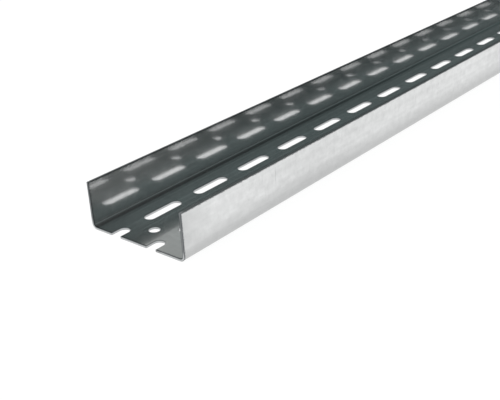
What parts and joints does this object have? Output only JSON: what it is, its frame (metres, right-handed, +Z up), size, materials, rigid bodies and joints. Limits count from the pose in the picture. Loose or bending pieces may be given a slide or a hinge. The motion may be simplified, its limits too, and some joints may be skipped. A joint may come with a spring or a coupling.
{
  "type": "punched steel reinforcing channel",
  "caption": "Cold-formed U-shaped steel channel with rows of slots and round holes punched along its web, for stiffening drywall studwork at doors and other openings.",
  "frame": {"origin": "under the middle of the web's outer face, halfway along the length", "axes": "+X along the channel, +Y across the web, +Z up from the web towards the flanges' free edges"},
  "size_m": [2.6, 0.1, 0.04],
  "materials": {
    "galvanised_steel": "smooth hot-dip galvanised strip with faint rolling lines"
  },
  "bodies": {
    "root": {"channel_profile": "galvanised_steel"}
  },
  "joints": []
}
